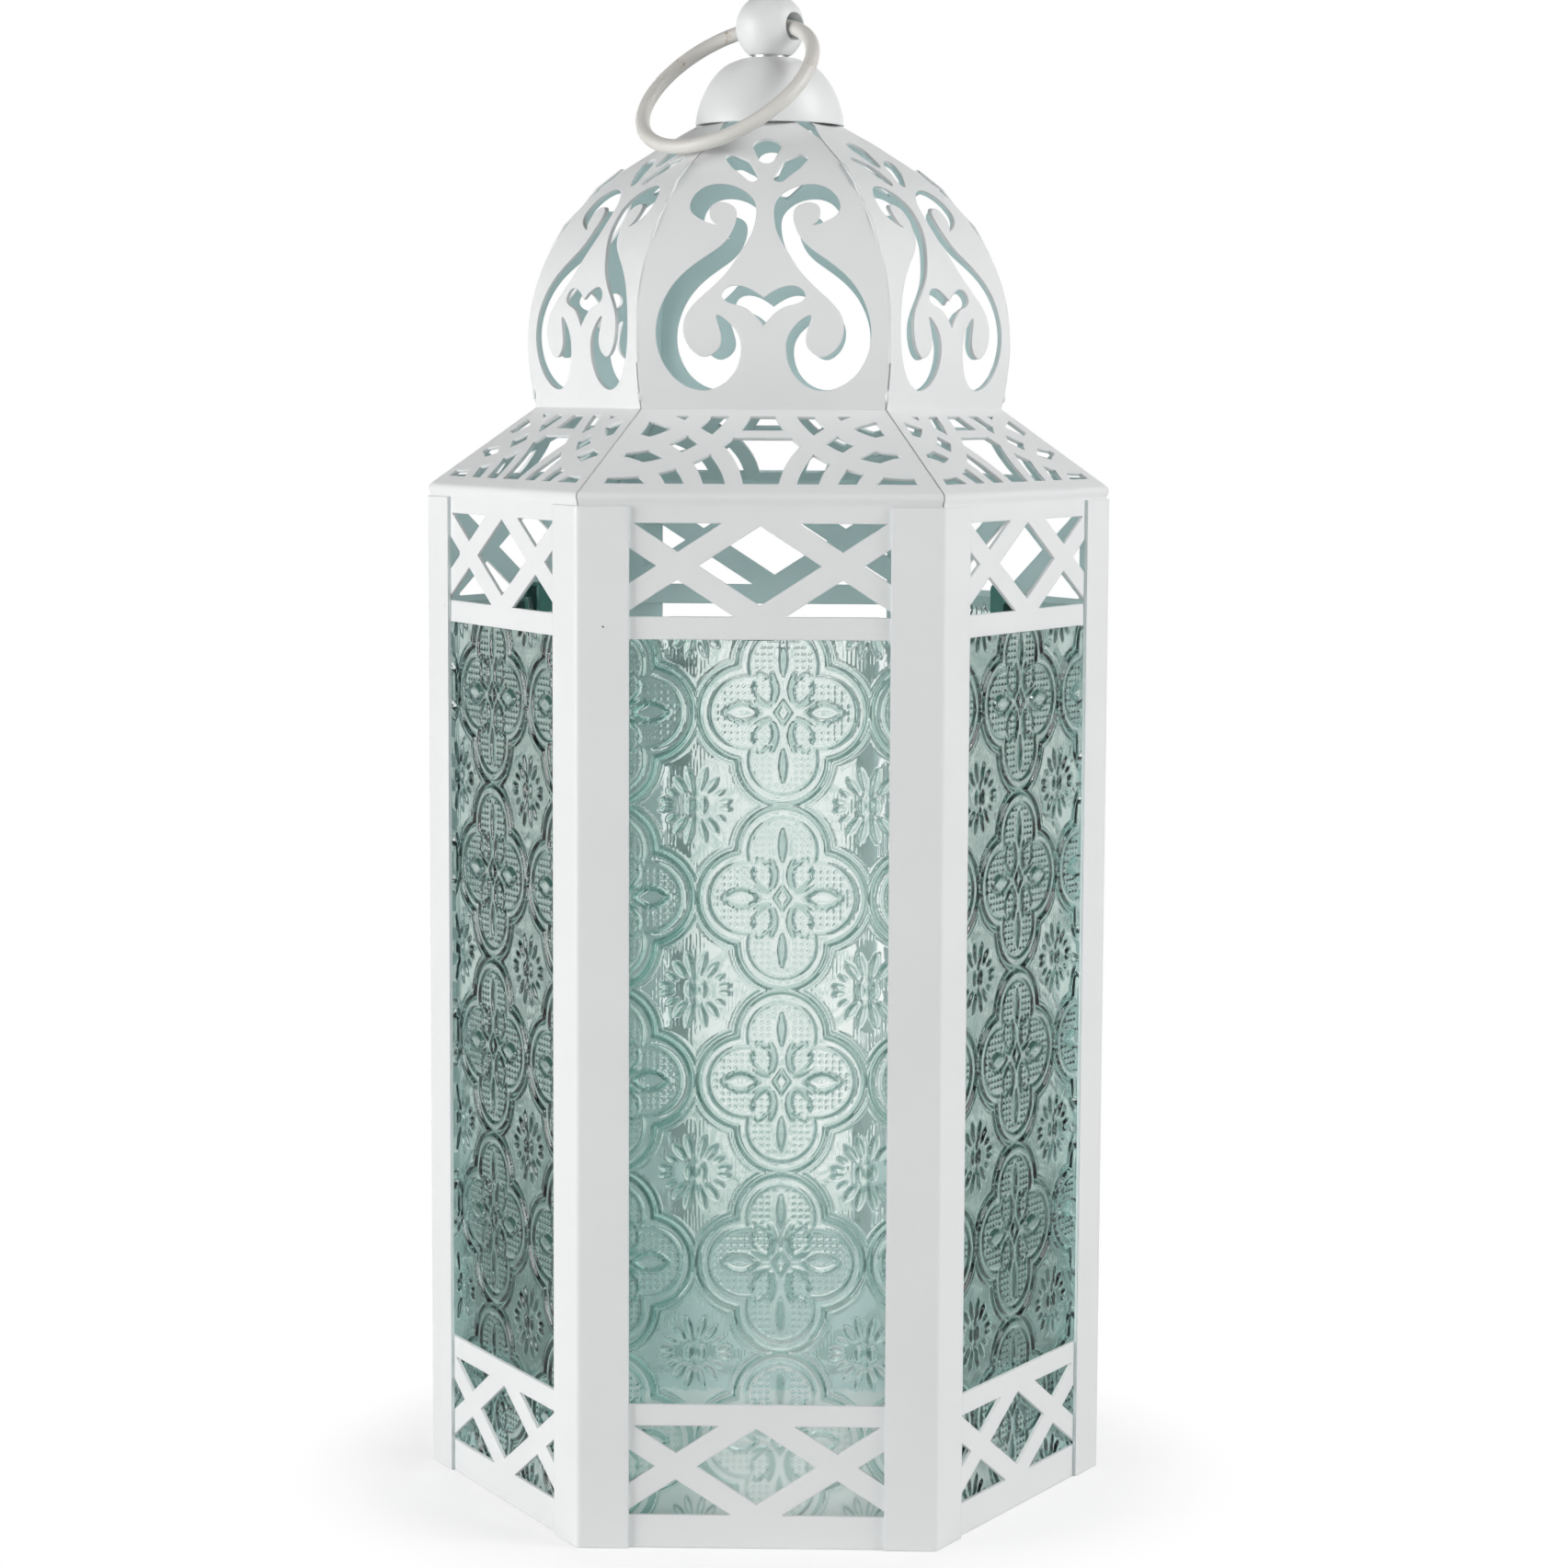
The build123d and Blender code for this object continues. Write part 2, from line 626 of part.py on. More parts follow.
def stud_washer():
    top = crown_top() - sheet / cos(dome_end_slope)
    return Pos(0, 0, top - sheet / 2) * (
        Cylinder(washer_radius, sheet) - Cylinder(stud_radius, sheet))


def stud_nut():
    top = crown_top() - sheet / cos(dome_end_slope) - sheet
    nut = hexagon(nut_across_flats / 2, nut_height, top - nut_height)
    return nut - Pos(0, 0, top) * Cylinder(stud_radius, 4 * nut_height)


def ring_handle():
    """Round ring through the bead, leaning down on one side of the cap."""
    bore = Vector(cos(radians(bore_turn)), sin(radians(bore_turn)), 0)
    lean = Vector(bore.Y, -bore.X, 0)
    droop = radians(ring_droop)
    reach = lean * cos(droop) - Vector(0, 0, 1) * sin(droop)
    middle = Vector(0, 0, bead_middle()) + reach * (ring_radius - ring_shift)
    return Plane(origin=middle, x_dir=reach, z_dir=bore.cross(reach)) * Torus(
        ring_radius, wire_radius)


# ------------------------------------------------------------------ build it
def build_faces():
    petal = roof_petal()
    panel = lower_panel()
    pane = window_pane()
    clip = window_clip()
    for name, turn in FACES.items():
        save(turned(petal, turn), f"roof_petal_{name}")
        save(turned(panel, turn), f"lower_panel_{name}")
        if name != "back":
            save(turned(pane, turn), f"window_pane_{name}")
            save(turned(clip, turn), f"window_clip_{name}")


def build_posts():
    post = corner_post()
    latch, rivet = latch_parts()
    for name, turn in CORNERS.items():
        this_post = turned(post, turn)
        if name == "back_right":
            this_post -= turned(rivet, FACES["back"])
        save(this_post, f"corner_post_{name}")
    save(turned(latch, FACES["back"]), "latch")
    save(turned(rivet, FACES["back"]), "latch_rivet")


def build_door():
    back = FACES["back"]
    save(turned(door_panel(), back), "door_panel")
    save(turned(door_pane(), back), "door_pane")
    save(turned(door_clips(), back), "door_clips")
    save(turned(door_stops(), back), "door_stops")
    for name, middle in (("lower", door_bottom + hinge_inset),
                         ("upper", door_top - hinge_inset)):
        post_leaf, door_leaf, pin = hinge_parts(middle)
        save(turned(post_leaf, back), f"post_hinge_leaf_{name}")
        save(turned(door_leaf, back), f"door_hinge_leaf_{name}")
        save(turned(pin, back), f"hinge_pin_{name}")


def build_top():
    save(roof_cap(), "roof_cap")
    save(crown_plate(), "crown_plate")
    save(collar(), "finial_collar")
    save(finial_bead(), "finial_bead")
    save(finial_stud(), "finial_stud")
    save(stud_washer(), "stud_washer")
    save(stud_nut(), "stud_nut")
    save(ring_handle(), "ring_handle")


os.makedirs("parts", exist_ok=True)
build_faces()
build_posts()
build_door()
build_top()
save(base_pan(), "base_pan")
save(glass_stop_ring(), "glass_stop_ring")
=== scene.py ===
# %% [markdown]
# # A pierced metal candle lantern
# The lantern is a hexagonal house of folded steel sheet with pressed-glass windows. Its
# metalwork was drawn to size before this lesson starts, so the first step only loads it. What
# is left is what makes it look real: white powder coat with the marks of the spray gun, glass
# with a deep pressed pattern, solder at the seams, and a ring whose paint has rubbed off.

# %% Load the finished metalwork
import json
import math
import random

import bpy
import numpy as np
from mathutils import Matrix, Vector


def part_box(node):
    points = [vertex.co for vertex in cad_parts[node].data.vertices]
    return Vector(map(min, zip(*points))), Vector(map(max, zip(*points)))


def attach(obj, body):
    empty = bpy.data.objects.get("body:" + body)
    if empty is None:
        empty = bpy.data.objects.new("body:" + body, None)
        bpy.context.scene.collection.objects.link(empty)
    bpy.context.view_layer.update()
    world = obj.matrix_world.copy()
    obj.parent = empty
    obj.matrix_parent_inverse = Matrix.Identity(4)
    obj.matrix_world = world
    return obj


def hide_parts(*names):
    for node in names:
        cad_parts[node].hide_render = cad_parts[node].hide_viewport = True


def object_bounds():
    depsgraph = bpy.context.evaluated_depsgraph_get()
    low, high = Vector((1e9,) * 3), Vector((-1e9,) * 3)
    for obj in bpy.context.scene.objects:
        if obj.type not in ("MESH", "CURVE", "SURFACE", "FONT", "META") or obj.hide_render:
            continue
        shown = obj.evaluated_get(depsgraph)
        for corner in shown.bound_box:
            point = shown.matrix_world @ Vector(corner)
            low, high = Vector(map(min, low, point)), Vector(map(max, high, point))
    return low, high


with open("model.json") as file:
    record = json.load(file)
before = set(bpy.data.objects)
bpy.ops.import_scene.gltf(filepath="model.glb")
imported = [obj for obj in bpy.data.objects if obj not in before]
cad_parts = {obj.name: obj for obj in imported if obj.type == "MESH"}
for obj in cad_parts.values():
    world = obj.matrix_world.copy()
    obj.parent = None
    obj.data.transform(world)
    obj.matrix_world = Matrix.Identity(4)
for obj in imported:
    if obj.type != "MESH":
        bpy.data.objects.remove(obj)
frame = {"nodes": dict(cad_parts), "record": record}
cad_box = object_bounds()
mm = 0.001
low_corner, high_corner = cad_box
height = high_corner.z - low_corner.z
print("pieces of metalwork and glass:", len(frame["nodes"]), "height in mm:", round(height / mm, 1))

# %% [markdown]
# ## The camera
# The lantern is looked at from a little above its middle, from almost a metre away, with a
# portrait lens, so the near edges of its lower panels open downwards while its sides stay
# almost upright. The camera is turned by a matrix, one turn after another: rolled by a quarter
# of a degree, tipped down, and turned a degree to the left.

# %% Make the camera
camera_place = Vector((0.0226, -0.9124, 0.2657))
camera_lens, camera_sensor = 86.56, 36.0
heading_left, tipped_down, rolled = 1.16, 6.05, 0.269

camera = bpy.data.objects.new("camera", bpy.data.cameras.new("camera"))
bpy.context.scene.collection.objects.link(camera)
camera.data.sensor_width, camera.data.lens = camera_sensor, camera_lens
camera.data.clip_start, camera.data.clip_end = 0.01, 50.0
turn = (Matrix.Rotation(math.radians(heading_left), 4, "Z")
        @ Matrix.Rotation(math.radians(90 - tipped_down), 4, "X")
        @ Matrix.Rotation(math.radians(rolled), 4, "Z"))
camera.matrix_world = Matrix.Translation(camera_place) @ turn
bpy.context.scene.camera = camera
bpy.context.scene.view_settings.view_transform = "Standard"
print("camera at", [round(value, 3) for value in camera_place])

# %% [markdown]
# ## A kit for shader nodes
# Every finish below is a small network of nodes, and so are the floor and the room. Writing out
# each link would bury what the network does, so a few short helpers make a node, set its plain
# values and join it up.


# %% Helpers that make and join nodes
def add_node(tree, kind, **values):
    """A shader node by its short name; keyword values are properties of the node."""
    made = tree.nodes.new("ShaderNode" + kind)
    for name, value in values.items():
        setattr(made, name, value)
    return made


def feed(tree, socket, source):
    """Links a socket from another, or sets it to a plain value."""
    if isinstance(source, bpy.types.NodeSocket):
        tree.links.new(source, socket)
    else:
        socket.default_value = source


def maths(tree, operation, first, second=0.0, third=0.0, clamp=False):
    """A Math node; the third value is what MULTIPLY_ADD adds and how near COMPARE compares."""
    made = add_node(tree, "Math", operation=operation, use_clamp=clamp)
    for socket, source in zip(made.inputs, (first, second, third)):
        feed(tree, socket, source)
    return made.outputs[0]


# %% Helpers that blend and climb
def blend_value(tree, share, first, second):
    made = add_node(tree, "Mix")
    for place, source in ((0, share), (2, first), (3, second)):
        feed(tree, made.inputs[place], source)
    return made.outputs[0]


def blend_colour(tree, share, first, second, mode="MIX"):
    made = add_node(tree, "Mix", data_type="RGBA", blend_type=mode)
    for place, source in ((0, share), (6, first), (7, second)):
        feed(tree, made.inputs[place], source)
    return made.outputs[2]


def blend_shader(tree, share, first, second):
    made = add_node(tree, "MixShader")
    for place, source in enumerate((share, first, second)):
        feed(tree, made.inputs[place], source)
    return made.outputs[0]


def ramp(tree, source, low, high, first=0.0, last=1.0, kind="SMOOTHSTEP"):
    """Goes from the first value to the last as the source climbs from low to high."""
    made = add_node(tree, "MapRange", interpolation_type=kind)
    feed(tree, made.inputs["Value"], source)
    for label, value in (("From Min", low), ("From Max", high), ("To Min", first), ("To Max", last)):
        made.inputs[label].default_value = value
    return made.outputs["Result"]


# %% Helpers for scattered patterns
def noise(tree, place, size, detail=2.0, roughness=0.5):
    """Noise whose blobs are about a size across, in metres."""
    made = add_node(tree, "TexNoise")
    feed(tree, made.inputs["Vector"], place)
    made.inputs["Scale"].default_value = 1 / size
    made.inputs["Detail"].default_value = detail
    made.inputs["Roughness"].default_value = roughness
    return made.outputs["Fac"]


def cells(tree, place, size):
    """Distance to the nearest of scattered points, and a random value of that point's own."""
    made = add_node(tree, "TexVoronoi")
    feed(tree, made.inputs["Vector"], place)
    made.inputs["Scale"].default_value = 1 / size
    parted = add_node(tree, "SeparateColor")
    feed(tree, parted.inputs[0], made.outputs["Color"])
    return made.outputs["Distance"], parted.outputs[0]


def measure(tree, operation, first, second=None):
    """A Vector Math node, with the plain or linked vectors that it measures or multiplies."""
    made = add_node(tree, "VectorMath", operation=operation)
    feed(tree, made.inputs[0], first)
    if second is not None:
        feed(tree, made.inputs[1], second)
    return made.outputs


# %% Helpers for groups and materials
def new_group(name, inputs, outputs):
    """A node group with named sockets; returns it, its input and its output node."""
    group = bpy.data.node_groups.new(name, "ShaderNodeTree")
    kinds = {"colour": "NodeSocketColor", "value": "NodeSocketFloat"}
    for way, sockets in (("INPUT", inputs), ("OUTPUT", outputs)):
        for socket, kind in sockets:
            group.interface.new_socket(socket, in_out=way, socket_type=kinds[kind])
    return group, group.nodes.new("NodeGroupInput"), group.nodes.new("NodeGroupOutput")


def use_group(tree, group, **values):
    """Places a group in a material and sets its named inputs."""
    made = add_node(tree, "Group", node_tree=group)
    for name, value in values.items():
        feed(tree, made.inputs[name], value)
    return made


def new_material(name):
    """A material with one shader, ready to be fed."""
    made = bpy.data.materials.new(name)
    made.use_nodes = True
    return made, made.node_tree, made.node_tree.nodes["Principled BSDF"]


def deselect_all():
    bpy.ops.object.select_all(action="DESELECT")


print("helpers ready")

# %% [markdown]
# ## The studio floor
# White metal on a white ground is drawn by its shadows, so the light may not come evenly from
# everywhere. The floor is pale, and a little way from the lantern it glows as white as the
# room, so that it has no edge. Seen through the glass it is bright straight in front and
# behind, and dark and sea green at the sides, because the relief of the glass can then bend
# the dark towards the eye, and that is what draws its lines.

# %% Lay the floor
floor_half, floor_drop = 6.0, 0.0002
room_grey, wall_white, ground_white, dark_side = 0.16, 1.15, 1.0, 0.22
white, green_shadow = (1, 1, 1, 1), (0.5, 0.9, 0.81, 1)
deselect_all()
bpy.ops.mesh.primitive_grid_add(x_subdivisions=2, y_subdivisions=2, size=2 * floor_half,
                                location=(0, 0, low_corner.z - floor_drop))
studio_floor = bpy.context.active_object
studio_floor.name = "studio_floor"
print("floor", 2 * floor_half, "m wide")

# %% Where on the floor, and by which kind of ray, it is seen
floor_material, floor_tree, floor_shader = new_material("studio_floor")
floor_shader.inputs["Base Color"].default_value = (0.93, 0.93, 0.93, 1)
floor_shader.inputs["Roughness"].default_value = 0.7
floor_shader.inputs["Specular IOR Level"].default_value = 0.1
floor_place = add_node(floor_tree, "TexCoord").outputs["Object"]
floor_ray = add_node(floor_tree, "LightPath").outputs
from_middle = measure(floor_tree, "LENGTH", floor_place)["Value"]
floor_sides = add_node(floor_tree, "SeparateXYZ")
feed(floor_tree, floor_sides.inputs[0], floor_place)
floor_aside, floor_ahead = [maths(floor_tree, "ABSOLUTE", floor_sides.outputs[axis])
                            for axis in ("X", "Y")]
straight_on = maths(floor_tree, "SUBTRACT", floor_ahead, maths(
    floor_tree, "MULTIPLY", floor_aside, 1.6))
print("floor nodes so far:", len(floor_tree.nodes))

# %% Make the floor glow
dark_until, bright_from = -0.1, 0.45    # metres of straight_on
through_glass = floor_ray["Is Transmission Ray"]
brightness = maths(floor_tree, "MULTIPLY", through_glass, ramp(
    floor_tree, straight_on, dark_until, bright_from, dark_side, wall_white))
greenness = maths(floor_tree, "MULTIPLY", through_glass, ramp(
    floor_tree, straight_on, dark_until, bright_from, 1.0, 0.0))
floor_glow = add_node(floor_tree, "Emission")
feed(floor_tree, floor_glow.inputs["Color"], blend_colour(
    floor_tree, greenness, white, green_shadow))
feed(floor_tree, floor_glow.inputs["Strength"], maths(
    floor_tree, "ADD", floor_ray["Is Camera Ray"], brightness))
open_floor = maths(floor_tree, "MULTIPLY", floor_ray["Is Camera Ray"], ramp(
    floor_tree, from_middle, 0.08, 0.12, 0.7, 1.0))
glow_share = maths(floor_tree, "ADD", open_floor, through_glass)
feed(floor_tree, floor_tree.nodes["Material Output"].inputs["Surface"], blend_shader(
    floor_tree, glow_share, floor_shader.outputs[0], floor_glow.outputs[0]))
studio_floor.data.materials.append(floor_material)
print("floor nodes:", len(floor_tree.nodes))

# %% [markdown]
# ## Soft boxes
# Two large soft boxes stand left and right and light the slanting faces more than the front. A
# small one from the upper right lights the dome's far side, and a weak one fills the front.
# The white inner walls throw light at each other under the dome, and a small faint globe of
# light there stands for it.


# %% Hang the soft boxes
def soft_box(name, place, target, size, power):
    """A square area light that faces a point; size in metres, power in watts."""
    lamp = bpy.data.lights.new(name, "AREA")
    lamp.shape = "SQUARE"
    lamp.size = size
    lamp.energy = power
    box = bpy.data.objects.new(name, lamp)
    bpy.context.scene.collection.objects.link(box)
    box.location = place
    box.rotation_euler = (Vector(target) - Vector(place)).to_track_quat("-Z", "Y").to_euler()


middle = (0, 0, height / 2)
soft_box("left_box", (-1.35, -0.55, 0.4), middle, 0.9, 17.8)
soft_box("right_box", (1.25, -0.45, 0.9), middle, 0.9, 11.3)
soft_box("top_box", (0.95, -0.25, 1.05), middle, 0.25, 3.5)
soft_box("front_fill", (0.35, -1.9, 0.8), middle, 1.0, 3.1)

# %% Light the inside of the dome
glow = bpy.data.lights.new("dome_glow", "POINT")
glow.energy, glow.shadow_soft_size = 0.012, 0.02
glow.color = (0.93, 1.0, 1.0)
glow_globe = bpy.data.objects.new("dome_glow", glow)
glow_globe.location = (0, 0, 0.285)
bpy.context.scene.collection.objects.link(glow_globe)
print("lights:", [light.name for light in bpy.data.lights])

# %% [markdown]
# ## The room
# The camera sees the room as plain white. What the metal and the glass feel of it is a quiet
# grey under a dark ceiling, with one bright wall behind the lantern. A ray that has come
# through glass finds a bright wall in front as well, and a sea-green dusk at the sides.

# %% Find out where a ray goes
room = bpy.data.worlds.new("room")
bpy.context.scene.world = room
room.use_nodes = True
room_tree = room.node_tree
room_tree.nodes.clear()
room_ray = add_node(room_tree, "LightPath").outputs
compass = add_node(room_tree, "SeparateXYZ")
feed(room_tree, compass.inputs[0], add_node(room_tree, "TexCoord").outputs["Generated"])
along_y = maths(room_tree, "ABSOLUTE", compass.outputs["Y"])
to_wall = blend_value(room_tree, room_ray["Is Transmission Ray"], compass.outputs["Y"], along_y)
aslant = maths(room_tree, "MULTIPLY", room_ray["Is Transmission Ray"], ramp(
    room_tree, along_y, 0.9, 0.6, kind="LINEAR"))
print("room nodes so far:", len(room_tree.nodes))

# %% Paint the room
wall_light = ramp(room_tree, to_wall, 0.72, 0.97, room_grey, wall_white)
ceiling_shade = ramp(room_tree, compass.outputs["Z"], 0.25, 0.85, 1.0, 0.15)
felt, seen = [add_node(room_tree, "Background") for background in range(2)]
feed(room_tree, felt.inputs["Color"], blend_colour(
    room_tree, aslant, white, (0.82, 1.42, 1.28, 1)))
feed(room_tree, felt.inputs["Strength"], maths(room_tree, "MULTIPLY", wall_light, ceiling_shade))
seen.inputs["Color"].default_value = white
seen.inputs["Strength"].default_value = ground_white
feed(room_tree, add_node(room_tree, "OutputWorld").inputs["Surface"], blend_shader(
    room_tree, room_ray["Is Camera Ray"], felt.outputs[0], seen.outputs[0]))
print("room grey", room_grey, "wall", wall_white)

# %% [markdown]
# ## Powder coat
# Powder is sprayed dry and baked. It flows into a satin skin with a faint orange peel, its
# thickness drifts a little from place to place, and here and there a speck of dirt or a chip
# shows. Surfaces that face the inside of the lantern are painted darker and green, a painted
# shade with the green of the light that comes in through the glass. One group makes all of
# this from the object's own coordinates, and each paint sets its own values.

# %% The powder coat group: outside, and painted shade inside
coat, coat_in, coat_out = new_group(
    "powder coat",
    [("Colour", "colour"), ("Inside", "colour"), ("Speck", "colour"), ("Specks", "value"),
     ("Peel", "value")],
    [("Colour", "colour"), ("Roughness", "value"), ("Height", "value")])
coat_place = add_node(coat, "TexCoord").outputs["Object"]
cloud = noise(coat, coat_place, 35 * mm, detail=3)
toned = blend_colour(coat, 1.0, coat_in.outputs["Colour"], maths(
    coat, "MULTIPLY_ADD", cloud, 0.07, 0.965), mode="MULTIPLY")
level_place = measure(coat, "MULTIPLY", coat_place, (1, 1, 0))["Vector"]
outward = measure(coat, "NORMALIZE", level_place)["Vector"]
facing_out = measure(coat, "DOT_PRODUCT", add_node(coat, "NewGeometry").outputs["True Normal"],
                     outward)["Value"]
# Faces that turn towards the lantern's axis take the inside colour: a painted shade, darker and
# green.
inside = ramp(coat, maths(coat, "MULTIPLY", facing_out, -1.0), 0.15, 0.6)
with_inside_shade = blend_colour(coat, inside, toned, coat_in.outputs["Inside"])
print("powder coat group so far:", len(coat.nodes), "nodes")

# %% The powder coat group: specks and chips
speck_spacing, speck_size = 7 * mm, 0.06     # the size is in shares of the spacing
far_off, own_number = cells(coat, coat_place, speck_spacing)
chosen = maths(coat, "GREATER_THAN", own_number, maths(
    coat, "SUBTRACT", 1.0, coat_in.outputs["Specks"]))
ragged = maths(coat, "MULTIPLY", noise(coat, coat_place, 0.5 * mm), speck_size)
speck = maths(coat, "MULTIPLY", chosen, maths(coat, "LESS_THAN", far_off, ragged))
feed(coat, coat_out.inputs["Colour"], blend_colour(coat, speck, with_inside_shade, coat_in.outputs["Speck"]))
print("one spot every", speck_spacing / mm, "mm may be a speck")

# %% The powder coat group: orange peel, dents and shine
peel = noise(coat, coat_place, 1.6 * mm, detail=1.5)
dents = noise(coat, coat_place, 26 * mm, detail=1)
swells = maths(coat, "ADD", maths(coat, "MULTIPLY", peel, coat_in.outputs["Peel"]),
               maths(coat, "MULTIPLY", dents, 3.0))
feed(coat, coat_out.inputs["Height"], maths(
    coat, "SUBTRACT", swells, maths(coat, "MULTIPLY", speck, 0.6)))
feed(coat, coat_out.inputs["Roughness"], maths(coat, "MULTIPLY_ADD", cloud, 0.12, 0.34))
print("powder coat group:", len(coat.nodes), "nodes")


# %% Paints made with it
def paint(name, colour, inside_shade_colour, speck_colour, specks, peel_height):
    """A powder-coated finish; the bevel node softens every sheet's cut edges."""
    material, tree, shader = new_material(name)
    coated = use_group(tree, coat, Colour=(*colour, 1), Inside=(*inside_shade_colour, 1),
                       Speck=(*speck_colour, 1), Specks=specks, Peel=peel_height)
    feed(tree, shader.inputs["Base Color"], coated.outputs["Colour"])
    feed(tree, shader.inputs["Roughness"], coated.outputs["Roughness"])
    soft_edge = add_node(tree, "Bevel", samples=6)
    soft_edge.inputs["Radius"].default_value = 0.45 * mm
    bump = add_node(tree, "Bump")
    bump.inputs["Strength"].default_value = 0.35
    bump.inputs["Distance"].default_value = 0.05 * mm
    feed(tree, bump.inputs["Height"], coated.outputs["Height"])
    feed(tree, bump.inputs["Normal"], soft_edge.outputs[0])
    feed(tree, shader.inputs["Normal"], bump.outputs[0])
    shader.inputs["Specular IOR Level"].default_value = 0.4
    return material


# The second colour of a paint is its painted shade on inward faces; the ring's is its own cream, so
# it has none.
cream = (0.70, 0.685, 0.65)
white_paint = paint("white powder coat", (0.80, 0.81, 0.812), (0.61, 0.74, 0.745),
                    (0.12, 0.09, 0.07), 0.05, 0.5)
ring_paint = paint("cream ring paint", cream, cream, (0.25, 0.16, 0.09), 0.25, 0.5)
# The window clips are painted dark green: a painted shade, for the shade that falls on them behind
# the glass.
clip_shade_paint = paint("dark green enamel", (0.08, 0.21, 0.185), (0.065, 0.19, 0.165),
                   (0.2, 0.3, 0.28), 0.1, 0.4)
print("paints:", white_paint.name, ring_paint.name, clip_shade_paint.name)

# %% [markdown]
# ## The worn ring
# The ring swings, so its paint is rubbed through to the brown primer where it knocks against
# the cap and the bead. Three soft balls of wear are placed on it, and a fine noise eats their
# edges, so each spot is ragged and still has islands of paint in it.

# %% Wear the ring
worn_spots = ((-21.7, 5.2, 341.7), (-9.8, 5.5, 348.6), (9.6, -22.7, 339.2))    # in millimetres
worn_radius, worn_heart = 4.5 * mm, 0.5 * mm
primer_brown, primer_share = (0.42, 0.30, 0.18, 1), 0.75
ring_tree = ring_paint.node_tree
ring_shader = ring_tree.nodes["Principled BSDF"]
ring_place = add_node(ring_tree, "TexCoord").outputs["Object"]
near_wear = 0.0
for spot in worn_spots:
    away = measure(ring_tree, "DISTANCE", ring_place, [value * mm for value in spot])["Value"]
    near_wear = maths(ring_tree, "ADD", ramp(ring_tree, away, worn_radius, worn_heart),
                      near_wear, clamp=True)
grain = noise(ring_tree, ring_place, 1.1 * mm, detail=4, roughness=0.7)
rubbed = ramp(ring_tree, maths(ring_tree, "MULTIPLY", near_wear, grain), 0.36, 0.5)
ring_colour = ring_shader.inputs["Base Color"].links[0].from_socket
feed(ring_tree, ring_shader.inputs["Base Color"], blend_colour(
    ring_tree, maths(ring_tree, "MULTIPLY", rubbed, primer_share), ring_colour, primer_brown))
print("worn spots:", len(worn_spots))

# %% [markdown]
# ## Zinc
# The collar, the pins, the rivet and the stud with its washer and nut are bought-in steel with
# a thin grey zinc plate. It is metal, so its colour comes from its reflections, and a fine
# patchy crystal in the roughness and a faint stain are all that it needs.

# %% The zinc finish
zinc, zinc_tree, zinc_shader = new_material("dull zinc")
zinc_place = add_node(zinc_tree, "TexCoord").outputs["Object"]
crystal = cells(zinc_tree, zinc_place, 0.8 * mm)[1]
stain = noise(zinc_tree, zinc_place, 2.5 * mm, detail=4)
feed(zinc_tree, zinc_shader.inputs["Roughness"], maths(
    zinc_tree, "MULTIPLY_ADD", crystal, 0.2, 0.32))
feed(zinc_tree, zinc_shader.inputs["Base Color"], blend_colour(
    zinc_tree, ramp(zinc_tree, stain, 0.4, 0.75), (0.62, 0.62, 0.6, 1), (0.4, 0.4, 0.39, 1)))
zinc_shader.inputs["Metallic"].default_value = 1.0
print("zinc nodes:", len(zinc_tree.nodes))

# %% [markdown]
# ## Finishes on the metalwork
# The record of the metalwork names a slot of material for every piece, so a table from slot to
# finish is all that it takes to paint them. The flat panes are left out, because pressed ones
# take their place further on.

# %% Give each metal piece its finish
finishes = {"white_paint": white_paint, "ring_paint": ring_paint, "zinc_hardware": zinc,
            "clip_enamel": clip_shade_paint}
slots = {part["node"]: part["material_slot"] for part in frame["record"]["subparts"]}
painted = [name for name in frame["nodes"] if slots[name] in finishes]
for name in painted:
    surface = frame["nodes"][name].data.materials
    surface.clear()
    surface.append(finishes[slots[name]])
print("painted", len(painted), "metal pieces")

# %% [markdown]
# ## Solder up the seams
# The six petals of the roof only touch along their edges. Over the dome each seam was run full
# of solder before the powder went on, so it has almost gone, while below the neck it is left
# open and shows as a thin dark line. The bead of solder is a ring of eight points that is
# extruded up the corner of the dome, one step for every height where the petal has points.


# %% Find the corner of the dome
def corner_path(node, low, high, step, sunk):
    """The outermost points of a front petal's right-hand edge, a little sunk into it."""
    mesh = frame["nodes"][node].data
    points = np.empty(len(mesh.vertices) * 3)
    mesh.vertices.foreach_get("co", points)
    points = points.reshape(-1, 3)
    outward = points[:, 0] * 0.5 - points[:, 1] * math.sqrt(0.75)
    aside = points[:, 0] * math.sqrt(0.75) + points[:, 1] * 0.5
    on_edge = np.abs(aside) < 0.5 * mm
    tall, reach = points[on_edge, 2], outward[on_edge]
    levels = [level for level in np.arange(low, high, step)
              if (np.abs(tall - level) < step / 2).any()]
    corners = np.array([reach[np.abs(tall - level) < step / 2].max() for level in levels])
    corners[1:-1] = np.maximum(corners[1:-1], (corners[:-2] + corners[2:]) / 2)
    return [np.array([0.5 * corner, -math.sqrt(0.75) * corner, level])
            for corner, level in zip(corners - sunk, levels)]


seam_points = corner_path("roof_petal_front", 0.2705, 0.3205, 0.0022, 0.35 * mm)
print("steps up the seam:", len(seam_points))

# %% Run solder up one seam
seam_radius = 0.5 * mm
deselect_all()
bpy.ops.mesh.primitive_circle_add(vertices=8, radius=seam_radius, fill_type="NGON")
seam = bpy.context.active_object
seam.name = "seam_solder"
bpy.ops.object.mode_set(mode="EDIT")
bpy.ops.mesh.select_all(action="SELECT")
bpy.ops.transform.translate(value=tuple(seam_points[0]))
for before, after in zip(seam_points, seam_points[1:]):
    bpy.ops.mesh.extrude_region_move()
    bpy.ops.transform.translate(value=tuple(after - before))
bpy.ops.mesh.select_all(action="SELECT")
bpy.ops.mesh.normals_make_consistent(inside=False)
print("rings of eight points:", len(seam_points))

